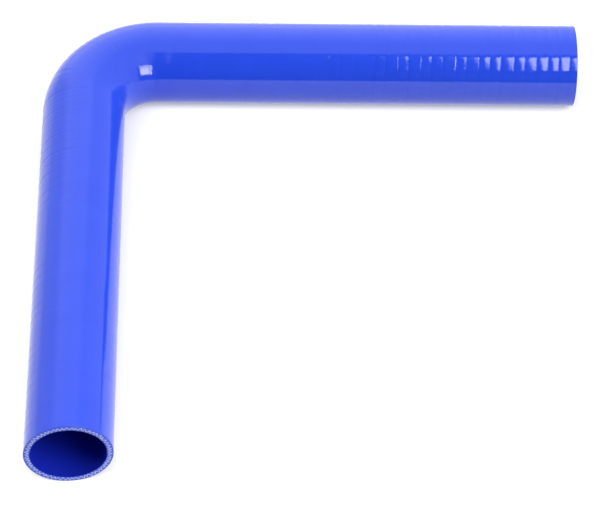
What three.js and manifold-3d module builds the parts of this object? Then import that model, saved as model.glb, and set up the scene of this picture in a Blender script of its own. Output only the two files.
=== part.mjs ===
// A silicone elbow hose: one thick reinforced wall, two straight legs joined by a quarter bend.
// It lies flat, as it would on a bench. Millimetres, +Z up, and the origin is the centre of the
// hose's footprint, on the surface that it lies on.
//
// A real one is laid up on a bent mandrel, bound with a spiral of cure tape, and trimmed to
// length with a knife once it has cured. The model is made in the same order: a skin that keeps
// the print of the tape, a bore taken out of it, and two knife cuts.

import * as THREE from "three";
import ManifoldModule from "manifold-3d";

const manifold = await ManifoldModule();
manifold.setup();
const { Manifold, Mesh } = manifold;

// Wall
const boreDiameter = 51;
const wallThickness = 4.5;

// Centreline: each leg is measured to the corner where the two straight lines would meet.
const frontLeg = 363;
const sideLeg = 363;
const bendRadius = 53;
const bendAngle = THREE.MathUtils.degToRad(90);

// The side end is cut square, and the front end a little off square.
const frontCutSkew = THREE.MathUtils.degToRad(3.6);

// Print of the cure tape: under each turn the skin falls by the step, then rises in a short run.
const tapePitch = 8.5;
const tapeStep = 0.25;
const tapeStepRun = 0.8;

const sides = 32;
const boreBendSteps = 16;

const siliconeColour = "#304fe4";

const boreRadius = boreDiameter / 2;
const outerRadius = boreRadius + wallThickness;
const tangentLength = bendRadius * Math.tan(bendAngle / 2);
const frontStraight = frontLeg - tangentLength;
const sideStraight = sideLeg - tangentLength;
const bendLength = bendRadius * bendAngle;
const routeLength = frontStraight + bendLength + sideStraight;

// The hose is laid up longer than the route by this at each end, and the mandrel is longer still.
const rawOverhang = outerRadius;
const mandrelOverhang = rawOverhang + 3 * tapePitch;

const up = new THREE.Vector3(0, 0, 1);

// The centreline at a distance from its front end: where it is, where it heads and what lies
// to its right. It starts along +Y and turns right, with the legs' corner at x = y = z = 0.
function centrelineAt(distance) {
  const turned = THREE.MathUtils.clamp((distance - frontStraight) / bendRadius, 0, bendAngle);
  const heading = new THREE.Vector3(Math.sin(turned), Math.cos(turned), 0);
  const point = new THREE.Vector3(
    bendRadius * (1 - Math.cos(turned)),
    bendRadius * Math.sin(turned) - tangentLength,
    0,
  );
  const beforeBend = Math.min(distance - frontStraight, 0);
  const afterBend = Math.max(distance - frontStraight - bendLength, 0);
  point.addScaledVector(heading, beforeBend + afterBend);
  return { point, heading, right: heading.clone().cross(up) };
}

// A corner of the round section at that distance: corner 0 is on its right, and they go up from it.
function sectionPoint(distance, corner, radius) {
  const angle = (2 * Math.PI * corner) / sides;
  const { point, right } = centrelineAt(distance);
  return point
    .addScaledVector(right, radius * Math.cos(angle))
    .addScaledVector(up, radius * Math.sin(angle));
}

// A closed solid from a side surface: each end's open rim is fanned to a point on the centreline.
function closedSolid(points, faces, ends) {
  for (const { rim, centreDistance } of ends) {
    const centre = points.push(centrelineAt(centreDistance).point) - 1;
    rim.forEach((corner, k) => faces.push([centre, corner, rim[(k + 1) % rim.length]]));
  }
  const mesh = new Mesh({
    numProp: 3,
    vertProperties: new Float32Array(points.flatMap((point) => point.toArray())),
    triVerts: new Uint32Array(faces.flat()),
  });
  return new Manifold(mesh);
}

function addQuad(faces, a, b, c, d) {
  faces.push([a, b, c], [a, c, d]);
}

// The raw hose, as one spiral strip: the shallow cone pressed under the tape, and the step up
// from the last edge of each turn to the first edge of the next.
function rawHose() {
  const start = -rawOverhang - tapePitch;
  const turns = Math.ceil((routeLength + rawOverhang - start) / tapePitch);
  const last = turns * sides;
  const high = (i) => 2 * i;
  const low = (i) => 2 * i + 1;
  const points = [];
  const faces = [];
  for (let i = 0; i <= last; i++) {
    const firstEdge = start + (tapePitch * i) / sides;
    const lastEdge = firstEdge + tapePitch - tapeStepRun;
    points.push(sectionPoint(firstEdge, i, outerRadius));
    points.push(sectionPoint(lastEdge, i, outerRadius - tapeStep));
  }
  for (let i = 0; i < last; i++) {
    addQuad(faces, high(i), low(i), low(i + 1), high(i + 1));
    const next = i + sides;
    if (next < last) addQuad(faces, low(i), high(next), high(next + 1), low(i + 1));
  }
  const around = Array.from({ length: sides + 1 }, (_, k) => k);
  const end = start + tapePitch * (turns + 1);
  return closedSolid(points, faces, [
    { rim: [...around.map(high), low(0)], centreDistance: start },
    { rim: [...around.map((k) => low(last - k)), high(last)], centreDistance: end },
  ]);
}

// What the mandrel filled: plain round sections, set close together only where it bends.
function mandrel() {
  const bendStations = Array.from(
    { length: boreBendSteps + 1 },
    (_, k) => frontStraight + (bendLength * k) / boreBendSteps,
  );
  const stations = [-mandrelOverhang, ...bendStations, routeLength + mandrelOverhang];
  const at = (station, corner) => station * sides + (corner % sides);
  const corners = Array.from({ length: sides }, (_, k) => k);
  const points = stations.flatMap((distance) =>
    corners.map((corner) => sectionPoint(distance, corner, boreRadius)),
  );
  const faces = [];
  for (let s = 0; s + 1 < stations.length; s++) {
    for (const k of corners) addQuad(faces, at(s, k), at(s + 1, k), at(s + 1, k + 1), at(s, k + 1));
  }
  const lastStation = stations.length - 1;
  return closedSolid(points, faces, [
    { rim: corners.map((k) => at(0, k)), centreDistance: stations[0] },
    {
      rim: corners.map((k) => at(lastStation, sides - k)),
      centreDistance: stations[lastStation],
    },
  ]);
}

// A knife cut across the centreline, turned about the vertical by its skew; it keeps what lies
// on the side that `kept` points to.
function trimmed(solid, distance, kept, skew) {
  const { point, heading } = centrelineAt(distance);
  const normal = heading.multiplyScalar(kept).applyAxisAngle(up, skew);
  return solid.trimByPlane(normal.toArray(), normal.dot(point));
}

function geometryOf(solid) {
  const mesh = solid.getMesh();
  const geometry = new THREE.BufferGeometry();
  geometry.setAttribute("position", new THREE.BufferAttribute(mesh.vertProperties, 3));
  geometry.setIndex(new THREE.BufferAttribute(mesh.triVerts, 1));
  return geometry;
}

let hose = rawHose().subtract(mandrel());
hose = trimmed(hose, 0, 1, frontCutSkew);
hose = trimmed(hose, routeLength, -1, 0);

const geometry = geometryOf(hose);
geometry.computeBoundingBox();
const { min, max } = geometry.boundingBox;
geometry.translate(-(min.x + max.x) / 2, -(min.y + max.y) / 2, -min.z);

const material = new THREE.MeshStandardMaterial({
  name: "blue_silicone",
  color: siliconeColour,
  roughness: 0.25,
  metalness: 0,
});

const elbowHose = new THREE.Mesh(geometry, material);
elbowHose.name = "elbow_hose";

const part = new THREE.Group();
part.name = "silicone_elbow_hose";
part.add(elbowHose);

export default part;
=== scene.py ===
"""A silicone elbow hose lying on a white studio floor.

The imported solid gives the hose's size and place. It is shown as a finer mesh of the same form:
a skin with the uneven spiral print of the cure tape, a smooth bore, and two knife-cut ends with
the cut threads of the reinforcing cloth. Lengths are in metres.
"""

import math
import random

import bmesh
import bpy
from mathutils import Matrix, Vector, noise


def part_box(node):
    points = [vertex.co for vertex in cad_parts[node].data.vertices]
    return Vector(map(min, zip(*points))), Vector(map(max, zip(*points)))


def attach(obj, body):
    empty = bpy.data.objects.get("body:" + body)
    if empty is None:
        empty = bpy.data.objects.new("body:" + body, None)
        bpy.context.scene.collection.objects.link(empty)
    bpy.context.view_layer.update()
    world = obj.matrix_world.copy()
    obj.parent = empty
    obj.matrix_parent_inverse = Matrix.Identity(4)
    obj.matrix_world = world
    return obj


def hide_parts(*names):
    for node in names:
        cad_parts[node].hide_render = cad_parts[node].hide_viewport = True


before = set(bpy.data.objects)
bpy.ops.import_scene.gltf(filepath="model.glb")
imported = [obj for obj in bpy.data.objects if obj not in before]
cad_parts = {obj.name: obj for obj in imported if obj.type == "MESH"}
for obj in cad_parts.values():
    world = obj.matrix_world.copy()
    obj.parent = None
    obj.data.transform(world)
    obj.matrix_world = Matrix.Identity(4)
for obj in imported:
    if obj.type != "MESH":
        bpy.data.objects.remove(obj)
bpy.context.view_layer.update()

NODE = "elbow_hose"
MM = 0.001
FULL_TURN = 2 * math.pi
UP = Vector((0, 0, 1))

# The two ends, and the sign of the way along the centreline that leads inwards from each
ENDS = ("front", "side")
INWARDS = {"front": 1, "side": -1}

# The hose's form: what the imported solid's box gives, and its driving sizes

low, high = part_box(NODE)
outer_radius = (high.z - low.z) / 2
wall_thickness = 4.5 * MM
bore_radius = outer_radius - wall_thickness
bend_radius = 53 * MM
front_cut_slope = math.tan(math.radians(3.6))
lip_radius = 0.3 * MM

# Print of the cure tape: its pitch, how deep an edge prints, how much fuller the middle of a turn
# is, and how far from the start of the bend a second edge prints
tape_pitch = 8.5 * MM
tape_step = 0.16 * MM
tape_crown = 0.065 * MM
double_print_reach = 140 * MM

# The share of a turn over which the skin falls before it rises, the print's depth on the inside
# of the bend as a share of the deepest, and how much chance varies the print, each with its seed
fall_share = 0.9
inside_share = 0.15
depth_scatter, crown_scatter, tilt_scatter = 1.2, 1.8, 2
DEPTH_SEED, CROWN_SEED, TILT_SEED = 1, 2, 3

# What a cut shows of the wall: the liner, the plies with their cut threads, and the skin
liner_thickness = 0.4 * MM
skin_thickness = 0.8 * MM
plies_from, plies_to = bore_radius + liner_thickness, outer_radius - skin_thickness
thread_pair_pitch = 3 * MM
thread_margin = 0.4 * MM
thread_tip_scatter = 0.3 * MM

corner = Vector((low.x + outer_radius, high.y - outer_radius, low.z + outer_radius))
side_straight = high.x - corner.x - bend_radius
front_straight = corner.y - low.y - outer_radius * front_cut_slope - bend_radius
bend_length = bend_radius * FULL_TURN / 4
route_length = front_straight + bend_length + side_straight

# Columns of points round the hose, where the skin's rows lie across one turn of tape, the steps
# over a lip, and the steps along the bore
AROUND = 84
ANGLES = [FULL_TURN * k / AROUND for k in range(AROUND)]
ROWS = (0, 0.04, 0.2, 0.36, 0.45, 0.475, 0.5, 0.54, 0.7, 0.84, 0.9, 0.95)
LIP_STEPS = 4
LIP_TURNS = [FULL_TURN / 4 * k / LIP_STEPS for k in range(LIP_STEPS + 1)]
BORE_LEG_STEPS = 6
BORE_BEND_STEPS = 24

# A thread's bar at its foot, sunk in the cut face, and at its top: height, half width, overhang
BAR_LEVELS = ((-0.1 * MM, 0.25 * MM, 0.2 * MM), (0.12 * MM, 0.15 * MM, 0.1 * MM))
BAR_FACES = ((3, 2, 1, 0), (4, 5, 6, 7), (0, 1, 5, 4), (1, 2, 6, 5), (2, 3, 7, 6), (3, 0, 4, 7))


def centreline(distance):
    """The point at a distance from the front end, and the way to its right."""
    turned = min(max((distance - front_straight) / bend_radius, 0), FULL_TURN / 4)
    heading = Vector((math.sin(turned), math.cos(turned), 0))
    bend_point = bend_radius * Vector((1 - math.cos(turned), math.sin(turned) - 1, 0))
    straight = min(distance - front_straight, 0)
    straight += max(distance - front_straight - bend_length, 0)
    return corner + bend_point + heading * straight, heading.cross(UP)


def section_point(distance, angle, radius):
    """A point of the round section; angle 0 is on its right and a quarter turn is on top."""
    point, right = centreline(distance)
    return point + (right * math.cos(angle) + UP * math.sin(angle)) * radius


def cut_distance(end, angle, radius):
    """Where the knife cut at that end crosses a line along the wall."""
    if end == "front":
        return radius * math.cos(angle) * front_cut_slope
    return route_length


def uneven(along_tape, seed):
    """A smooth chance value, about -0.5 to 0.5, along the tape, which is counted in turns."""
    return noise.noise(Vector((along_tape * 1.7, seed * 10.3, 0.5)))


def fall(across):
    """How far the skin has sunk across a turn of tape, as a share of its step: a fall, a rise."""
    if across < fall_share:
        return (across / fall_share) ** 1.6
    return (1 - across) / (1 - fall_share)


def skin_radius(distance, angle):
    """The skin's radius: each turn of tape is slightly crowned, and the print of its edge is
    deepest on the outside of the bend and differs a little from turn to turn. Near the bend both
    edges of the tape print."""
    turns = distance / tape_pitch - angle / FULL_TURN
    turn = math.floor(turns)
    across = turns - turn
    along_tape = turn + angle / FULL_TURN
    outside = ((1 - math.cos(angle)) / 2) ** 6
    depth = tape_step * (inside_share + (1 - inside_share) * outside)
    depth *= 1 + depth_scatter * uneven(along_tape, DEPTH_SEED)
    near_bend = max(1 - abs(distance - front_straight) / double_print_reach, 0)
    sunk = depth * (fall(across) + near_bend * fall(2 * across % 1))
    towards_end = max(distance - front_straight - bend_length, 0) / side_straight
    crown = tape_crown * min(0.2 + 1.5 * towards_end, 1)
    off_middle = 2 * across - 1
    flank = crown * (1 + crown_scatter * uneven(along_tape, CROWN_SEED)) * off_middle ** 2
    tilt = crown * tilt_scatter * uneven(along_tape, TILT_SEED) * off_middle
    return outer_radius - sunk - flank - tilt * (1 - off_middle ** 8)


def skin_edge(end, angle):
    """Where the skin stops short of a cut, for the round of the lip: (distance, radius)."""
    distance = cut_distance(end, angle, outer_radius) + INWARDS[end] * lip_radius
    return distance, skin_radius(distance, angle)


def add_skin(vertices, faces):
    """The skin as one spiral strip, whose rows follow the tape and stop at the skin's edges."""
    begin = -3 * tape_pitch
    turns = math.ceil((route_length - 2 * begin) / tape_pitch)
    last = turns * AROUND
    first = len(vertices)
    for i in range(last + 1):
        angle = ANGLES[i % AROUND]
        nearest, farthest = skin_edge("front", angle)[0], skin_edge("side", angle)[0]
        for across in ROWS:
            distance = begin + tape_pitch * (across + i / AROUND)
            distance = min(max(distance, nearest), farthest)
            vertices.append(section_point(distance, angle, skin_radius(distance, angle)))
    rows = len(ROWS)
    for i in range(last):
        here = first + i * rows
        beside = here + rows
        for row in range(rows - 1):
            faces.append((here + row, here + row + 1, beside + row + 1, beside + row))
        if i + AROUND < last:
            turn = AROUND * rows
            faces.append((here + rows - 1, here + turn, beside + turn, beside + rows - 1))


def cut_ring(end, radius):
    """A ring on the cut face."""
    return [section_point(cut_distance(end, a, radius), a, radius) for a in ANGLES]


def edge_ring(end):
    """The ring where the skin stops."""
    edges = [(a, *skin_edge(end, a)) for a in ANGLES]
    return [section_point(distance, a, radius) for a, distance, radius in edges]


def lip_point(end, angle, radius, turned):
    """A point of a round lip, which has turned from along the wall towards the cut face."""
    inwards = INWARDS[end] * lip_radius
    distance = cut_distance(end, angle, radius) + inwards * (1 - math.sin(turned))
    return section_point(distance, angle, radius)


def outer_lip(end):
    """The rings from the skin's edge over a round lip to where the plies begin."""
    rings = [edge_ring(end)]
    for turned in LIP_TURNS[1:]:
        sunk = lip_radius * (1 - math.cos(turned))
        rings.append([lip_point(end, a, skin_edge(end, a)[1] - sunk, turned) for a in ANGLES])
    return rings + [cut_ring(end, plies_to)]


def inner_lip(end):
    """The rings from where the plies end over a round lip to the bore."""
    rings = [cut_ring(end, plies_from)]
    for turned in reversed(LIP_TURNS):
        radius = bore_radius + lip_radius * (1 - math.cos(turned))
        rings.append([lip_point(end, a, radius, turned) for a in ANGLES])
    return rings


def bore_rings():
    """The rings of the bore between its two lips, close together only in the bend."""
    leg, bend = BORE_LEG_STEPS, BORE_BEND_STEPS
    stations = [front_straight * k / leg for k in range(1, leg)]
    stations += [front_straight + bend_length * k / bend for k in range(bend + 1)]
    stations += [route_length - side_straight * k / leg for k in range(leg - 1, 0, -1)]
    return [[section_point(s, a, bore_radius) for a in ANGLES] for s in stations]


def add_rings(vertices, faces, rings):
    """Rings of points joined into a strip."""
    vertices.extend(rings[0])
    for ring in rings[1:]:
        here = len(vertices)
        vertices.extend(ring)
        for k in range(AROUND):
            beside = (k + 1) % AROUND
            faces.append((here - AROUND + k, here - AROUND + beside, here + beside, here + k))


def thread_bars(end, chance):
    """The cut threads round the wall, each a short run between near the bore and near the skin."""
    inner, outer = plies_from + thread_margin, plies_to - thread_margin
    threads = 2 * round(FULL_TURN * (inner + outer) / 2 / thread_pair_pitch)
    tips = []
    for k in range(threads):
        angle = FULL_TURN * (k + chance.uniform(-0.35, 0.35)) / threads
        radius = (outer if k % 2 else inner) + chance.uniform(-1, 1) * thread_tip_scatter
        tips.append(section_point(cut_distance(end, angle, radius), angle, radius))
    return zip(tips, tips[1:] + tips[:1])


def add_bar(vertices, faces, start, stop, outwards):
    """A low bar with sloping sides, half sunk in a cut face."""
    along = (stop - start).normalized()
    aside = along.cross(outwards)
    here = len(vertices)
    for lift, half_width, reach in BAR_LEVELS:
        for point, way in ((start, -1), (stop, 1)):
            middle = point + outwards * lift + along * way * reach
            vertices += [middle + aside * half_width * way, middle - aside * half_width * way]
    faces += [[here + k for k in quad] for quad in BAR_FACES]


def straightened(point):
    """Where a point of the hose would lie if the hose were straight along X."""
    out = point - corner
    bend_centre = corner + Vector((bend_radius, -bend_radius, 0))
    if out.y < -bend_radius:
        return Vector((front_straight + bend_radius + out.y, out.x, out.z))
    if out.x > bend_radius:
        return Vector((route_length - side_straight + out.x - bend_radius, -out.y, out.z))
    spoke = point - bend_centre
    turned = math.atan2(spoke.y, -spoke.x)
    right = bend_radius - math.hypot(spoke.x, spoke.y)
    return Vector((front_straight + turned * bend_radius, right, out.z))


# Materials


def new_material(name):
    material = bpy.data.materials.new(name)
    material.use_nodes = True
    tree = material.node_tree
    return material, tree, tree.nodes["Principled BSDF"]


def add_node(tree, kind, **settings):
    """A node of that kind, with inputs set by their names and the rest as its properties."""
    node = tree.nodes.new(kind)
    for name, value in settings.items():
        if name in node.inputs:
            node.inputs[name].default_value = value
        else:
            setattr(node, name, value)
    return node


def stretched_noise(tree, scale, detail):
    """Noise over the straightened hose, with its own scale along, across and up."""
    place = add_node(tree, "ShaderNodeAttribute", attribute_name="straight")
    mapping = add_node(tree, "ShaderNodeMapping", Scale=scale)
    noise_node = add_node(tree, "ShaderNodeTexNoise", Scale=1.0, Detail=detail)
    tree.links.new(place.outputs["Vector"], mapping.inputs["Vector"])
    tree.links.new(mapping.outputs["Vector"], noise_node.inputs["Vector"])
    return noise_node.outputs["Fac"]


def ranged(tree, value, low_value, high_value):
    """A value that runs between two others as the noise goes from 0.3 to 0.7."""
    node = add_node(tree, "ShaderNodeMapRange", **{"From Min": 0.3, "From Max": 0.7})
    node.inputs["To Min"].default_value = low_value
    node.inputs["To Max"].default_value = high_value
    tree.links.new(value, node.inputs["Value"])
    return node.outputs["Result"]


def mottle(tree, surface, share, dark, light):
    """Lets the surface's colour run from the dark to the light one with that share."""
    tint = add_node(tree, "ShaderNodeMix", data_type="RGBA")
    tint.inputs["A"].default_value = (*dark, 1)
    tint.inputs["B"].default_value = (*light, 1)
    tree.links.new(share, tint.inputs["Factor"])
    tree.links.new(tint.outputs["Result"], surface.inputs["Base Color"])


def silicone_material():
    """Glossy blue silicone: an even colour, with the fine streaks that the tape's weave leaves."""
    material, tree, surface = new_material("blue_silicone")
    clouds = stretched_noise(tree, (60, 40, 40), 3)
    mottle(tree, surface, clouds, (0.022, 0.076, 0.81), (0.028, 0.090, 0.87))
    streaks = stretched_noise(tree, (900, 60, 60), 2)
    tree.links.new(ranged(tree, streaks, 0.07, 0.12), surface.inputs["Roughness"])
    bump = add_node(tree, "ShaderNodeBump", Strength=0.5, Distance=0.02 * MM)
    tree.links.new(streaks, bump.inputs["Height"])
    tree.links.new(bump.outputs["Normal"], surface.inputs["Normal"])
    surface.inputs["IOR"].default_value = 1.5
    return material


def painted_shade_liner_material():
    """The smooth liner of the bore, in a darker blue than the skin: painted shade that stands in for
    the dim light deep inside the bore.
    """
    material, tree, surface = new_material("blue_liner_painted_shade")
    # Painted shade: this dark blue darkens the whole bore, in place of the shade that falls inside it
    surface.inputs["Base Color"].default_value = (0.008, 0.022, 0.46, 1)
    surface.inputs["Roughness"].default_value = 0.45
    surface.inputs["Specular IOR Level"].default_value = 0.2
    return material


def ply_material():
    """The cut wall between the skin and the bore: silicone mixed with the cloth's cut fibres."""
    material, tree, surface = new_material("cut_wall")
    speckle = ranged(tree, stretched_noise(tree, (1500, 1500, 1500), 2), 0, 1)
    mottle(tree, surface, speckle, (0.04, 0.09, 0.80), (0.13, 0.22, 0.98))
    surface.inputs["Roughness"].default_value = 0.6
    return material


def thread_material():
    """Cut polyester thread, white with a little blue from the silicone round it."""
    material, tree, surface = new_material("cut_thread")
    fibres = stretched_noise(tree, (700, 700, 700), 2)
    mottle(tree, surface, fibres, (0.62, 0.71, 1), (0.88, 0.93, 1))
    surface.inputs["Roughness"].default_value = 0.75
    surface.inputs["Sheen Weight"].default_value = 0.2
    return material


def seen_ray(tree):
    """1 for the rays that show a background: from the camera, a reflection or a glass."""
    path = add_node(tree, "ShaderNodeLightPath")
    camera_or_glossy = add_node(tree, "ShaderNodeMath", operation="MAXIMUM")
    any_of_them = add_node(tree, "ShaderNodeMath", operation="MAXIMUM")
    tree.links.new(path.outputs["Is Camera Ray"], camera_or_glossy.inputs[0])
    tree.links.new(path.outputs["Is Glossy Ray"], camera_or_glossy.inputs[1])
    tree.links.new(camera_or_glossy.outputs[0], any_of_them.inputs[0])
    tree.links.new(path.outputs["Is Transmission Ray"], any_of_them.inputs[1])
    return any_of_them.outputs[0]


def floor_material():
    """White paper that keeps the hose's shadow, and is lifted towards white where it is seen."""
    material, tree, surface = new_material("floor_paper")
    surface.inputs["Roughness"].default_value = 0.9
    surface.inputs["Specular IOR Level"].default_value = 0
    surface.inputs["Emission Color"].default_value = (1, 1, 1, 1)
    seen = seen_ray(tree)
    mottle(tree, surface, seen, (0.29, 0.29, 0.29), (0.45, 0.45, 0.45))
    lift = add_node(tree, "ShaderNodeMath", operation="MULTIPLY")
    lift.inputs[1].default_value = 0.4
    tree.links.new(seen, lift.inputs[0])
    tree.links.new(lift.outputs[0], surface.inputs["Emission Strength"])
    return material


# The hose

vertices, faces, materials = [], [], []


def close_section(index):
    """The faces added since the last call get that material."""
    materials.extend([index] * (len(faces) - len(materials)))


SILICONE, PAINTED_SHADE_LINER, PLY, THREAD = range(4)
add_skin(vertices, faces)
for end in ENDS:
    add_rings(vertices, faces, outer_lip(end))
close_section(SILICONE)
# The bore, in the liner material whose darker blue is painted shade
add_rings(vertices, faces, inner_lip("front") + bore_rings() + inner_lip("side")[::-1])
close_section(PAINTED_SHADE_LINER)
for end in ENDS:
    add_rings(vertices, faces, [cut_ring(end, plies_to), cut_ring(end, plies_from)])
close_section(PLY)
chance = random.Random(7)
outwards = {"front": Vector((front_cut_slope, -1, 0)).normalized(), "side": Vector((1, 0, 0))}
for end in ENDS:
    for start, stop in thread_bars(end, chance):
        add_bar(vertices, faces, start, stop, outwards[end])
close_section(THREAD)

mesh = bpy.data.meshes.new("elbow_hose_surface")
mesh.from_pydata(vertices, [], faces)
mesh.polygons.foreach_set("material_index", materials)
form = bmesh.new()
form.from_mesh(mesh)
bmesh.ops.remove_doubles(form, verts=form.verts, dist=1e-7)
bmesh.ops.recalc_face_normals(form, faces=form.faces)
form.to_mesh(mesh)
form.free()
mesh.shade_smooth()
place = mesh.attributes.new("straight", "FLOAT_VECTOR", "POINT")
place.data.foreach_set("vector", [c for v in mesh.vertices for c in straightened(v.co)])
for material in (silicone_material(), painted_shade_liner_material(), ply_material(), thread_material()):
    mesh.materials.append(material)

hose = bpy.data.objects.new("elbow_hose_surface", mesh)
bpy.context.scene.collection.objects.link(hose)
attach(hose, "root")
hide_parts(NODE)

# The studio

floor_reach = 2.5
floor_drop = 0.05 * MM
floor_mesh = bpy.data.meshes.new("studio_floor")
floor_corners = [(x * floor_reach, y * floor_reach) for x, y in ((-1, -1), (1, -1), (1, 1), (-1, 1))]
floor_mesh.from_pydata([(x, y, low.z - floor_drop) for x, y in floor_corners], [], [(0, 1, 2, 3)])
floor_mesh.materials.append(floor_material())
floor = bpy.data.objects.new("studio_floor", floor_mesh)
bpy.context.scene.collection.objects.link(floor)


def towards(azimuth, elevation):
    """The direction at an azimuth from the front, to the right, and an elevation, in degrees."""
    a, e = math.radians(azimuth), math.radians(elevation)
    return Vector((math.sin(a) * math.cos(e), -math.cos(a) * math.cos(e), math.sin(e)))


def face(thing, aim, azimuth, elevation, distance):
    """Stands a thing at a distance from the point it faces."""
    back = towards(azimuth, elevation)
    thing.location = aim + back * distance
    thing.rotation_mode = "QUATERNION"
    thing.rotation_quaternion = back.to_track_quat("Z", "Y")


def softbox(name, size, power, lights):
    """A rectangular lamp, which no reflection shows, for one object only."""
    lamp = bpy.data.lights.new(name, "AREA")
    lamp.shape = "RECTANGLE"
    lamp.size, lamp.size_y = size
    lamp.energy = power
    box = bpy.data.objects.new(name, lamp)
    box.visible_camera = False
    box.visible_glossy = False
    bpy.context.scene.collection.objects.link(box)
    lit = bpy.data.collections.new("lit_by_" + name)
    lit.objects.link(lights)
    box.light_linking.receiver_collection = lit
    return box


def seen_from(aim, distance, rows):
    """Rows of points at a distance from one that they are seen from: (azimuth, elevation) each."""
    return [[aim + towards(a, e) * distance for a, e in row] for row in rows]


def sheet(name, rows, glow=0):
    """A sheet through rows of points, black or glowing, which the camera doesn't see."""
    columns = len(rows[0])
    patches = [
        [r * columns + c + k for k in (0, 1, columns + 1, columns)]
        for r in range(len(rows) - 1)
        for c in range(columns - 1)
    ]
    mesh = bpy.data.meshes.new(name)
    mesh.from_pydata([point for row in rows for point in row], [], patches)
    material, tree, surface = new_material(name)
    surface.inputs["Base Color"].default_value = (0.01, 0.01, 0.01, 1)
    surface.inputs["Roughness"].default_value = 1
    surface.inputs["Specular IOR Level"].default_value = 0
    surface.inputs["Emission Color"].default_value = (1, 1, 1, 1)
    surface.inputs["Emission Strength"].default_value = glow
    mesh.materials.append(material)
    cloth = bpy.data.objects.new(name, mesh)
    cloth.visible_camera = False
    bpy.context.scene.collection.objects.link(cloth)
    return cloth, tree, surface


def panel(name, rows, glow):
    """A glowing sheet that lights nothing and only shows in reflections."""
    lit_sheet, tree, surface = sheet(name, rows, glow)
    lit_sheet.visible_diffuse = False
    lit_sheet.visible_shadow = False
    lit_sheet.data.materials[0].cycles.emission_sampling = "NONE"
    return lit_sheet, tree, surface


def soften(tree, surface, brightest):
    """Lets a panel's glow fade to the plain surroundings' towards its sides and its top."""
    place = add_node(tree, "ShaderNodeTexCoord")
    across_and_up = add_node(tree, "ShaderNodeSeparateXYZ")
    off_centre = add_node(tree, "ShaderNodeMath", operation="SUBTRACT")
    off_centre.inputs[1].default_value = 0.5
    aside = add_node(tree, "ShaderNodeMath", operation="ABSOLUTE")
    from_side = add_node(tree, "ShaderNodeMapRange", **{"From Min": 0.5, "From Max": 0.25})
    from_side.interpolation_type = "SMOOTHSTEP"
    from_top = add_node(tree, "ShaderNodeMapRange", **{"From Min": 1.0, "From Max": 0.55})
    both = add_node(tree, "ShaderNodeMath", operation="MULTIPLY")
    glow = add_node(tree, "ShaderNodeMapRange", **{"To Min": 1.0, "To Max": brightest})
    tree.links.new(place.outputs["Generated"], across_and_up.inputs[0])
    tree.links.new(across_and_up.outputs["X"], off_centre.inputs[0])
    tree.links.new(off_centre.outputs[0], aside.inputs[0])
    tree.links.new(aside.outputs[0], from_side.inputs["Value"])
    tree.links.new(across_and_up.outputs["Y"], from_top.inputs["Value"])
    tree.links.new(from_side.outputs["Result"], both.inputs[0])
    tree.links.new(from_top.outputs["Result"], both.inputs[1])
    tree.links.new(both.outputs[0], glow.inputs["Value"])
    tree.links.new(glow.outputs["Result"], surface.inputs["Emission Strength"])


bend_inside = corner + Vector((45, -25, 18)) * MM
side_leg_front = corner + Vector((310, -19, 23)) * MM
middle = corner + Vector((120, -150, 0)) * MM

# Lamps, which reflections don't show: size in metres, power in watts, the one object each lights,
# the point it faces, and its azimuth, elevation and distance from there
for name, size, power, lights, aim, stand in (
    ("left_softbox", (1.9, 2.1), 14, hose, corner, (-115, 25, 2.5)),
    ("side_softbox", (0.7, 1.3), 30, hose, side_leg_front, (28.5, 56, 2.4)),
    ("front_softbox", (1.2, 0.6), 8, hose, middle, (22, 14, 2.4)),
    ("floor_softbox", (4.0, 0.9), 150, floor, middle, (-5, 60, 2.4)),
):
    face(softbox(name, size, power, lights), aim, *stand)

# Glowing panels, which only reflections show
half_width, half_height = 1.6, 1.95
rows = [[(x * half_width, y * half_height, 0) for x in (-1, 1)] for y in (-1, 1)]
back_panel, tree, surface = panel("back_panel", rows, 1)
soften(tree, surface, 1.65)
face(back_panel, corner, -170, 35, 2.5)
side_rows = [[(10.6, 31), (36, 31)], [(14.1, 66), (36, 66)]]
panel("side_panel", seen_from(side_leg_front, 2.4, side_rows), 8.5)
bend_rows = [[(13, 12), (42, 12)], [(13, 37), (42, 37)]]
panel("bend_panel", seen_from(bend_inside, 8, bend_rows), 13)

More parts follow.
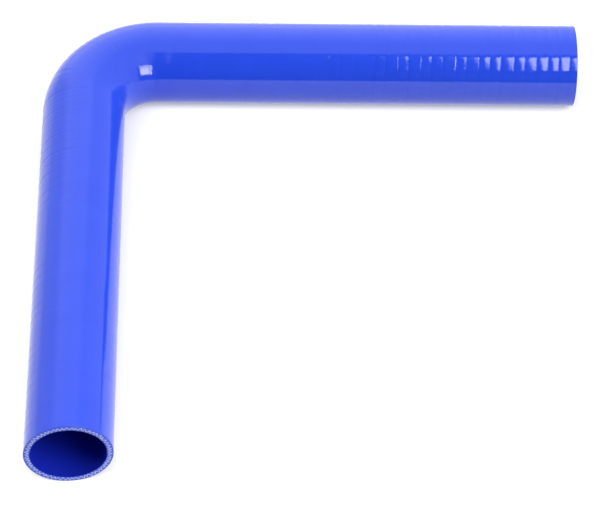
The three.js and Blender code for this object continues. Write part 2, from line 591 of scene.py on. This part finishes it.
# Cards: a white one beside the bend keeps the side panel out of it, and a low black one before
# the side leg keeps the bend panel out of that
foot = corner - UP * outer_radius
white_card = [[(60, -22, 57), (60, -66, 86)], [(60, -22, 170), (60, -66, 170)]]
low_card = [[(230, -60, 49), (420, -60, 49)], [(230, -60, 71), (420, -60, 71)]]
for name, rows, glow in (("white_card", white_card, 1), ("low_card", low_card, 0)):
    panel(name, [[foot + Vector(point) * MM for point in row] for row in rows], glow)

# Black cloth hangs and lies in front, and darkens the bore and what the hose mirrors from there.
# What lies shows to the camera as white paper.
cloth_from, cloth_to = 0.45, 9
cloth_height = low.z + 0.03 * MM
azimuths = range(-70, 51, 10)
hanging = [[(a, e) for a in azimuths] for e in range(0, 76, 5)]
sheet("hanging_cloth", seen_from(Vector(), cloth_to, hanging))
lying = [[towards(a, 0) * far + UP * cloth_height for a in azimuths] for far in (cloth_from, cloth_to)]
lying_cloth, tree, surface = sheet("lying_cloth", lying)
lying_cloth.visible_camera = True
path = add_node(tree, "ShaderNodeLightPath")
tree.links.new(path.outputs["Is Camera Ray"], surface.inputs["Emission Strength"])

world = bpy.data.worlds.new("studio")
bpy.context.scene.world = world
world.use_nodes = True
world_tree = world.node_tree
background = world_tree.nodes["Background"]
background.inputs["Color"].default_value = (1, 1, 1, 1)
level = add_node(world_tree, "ShaderNodeMapRange", **{"To Min": 0.9, "To Max": 1.0})
world_tree.links.new(seen_ray(world_tree), level.inputs["Value"])
world_tree.links.new(level.outputs["Result"], background.inputs["Strength"])

# The camera, at the photograph's angle: a fit to the hose's whole outline, with angles in degrees

photo_width, focal_length_px, sensor_width = 600, 2856.8, 36
elevation, azimuth, roll, distance = 49.281, -2.73, 2.438, 2.00986
aim = corner + Vector((156.06, -185.81, 0)) * MM

camera_data = bpy.data.cameras.new("photo_camera")
camera_data.sensor_width = sensor_width
camera_data.lens = focal_length_px * sensor_width / photo_width
camera_data.clip_end = 50
camera = bpy.data.objects.new("photo_camera", camera_data)
back = towards(azimuth, elevation)
right = UP.cross(back).normalized()
turned = Matrix.Rotation(math.radians(roll), 3, back)
right = turned @ right
axes = Matrix((right, back.cross(right), back)).transposed()
camera.matrix_world = Matrix.Translation(aim + back * distance) @ axes.to_4x4()
bpy.context.scene.collection.objects.link(camera)
bpy.context.scene.camera = camera

view = bpy.context.scene.view_settings
view.view_transform = "Standard"
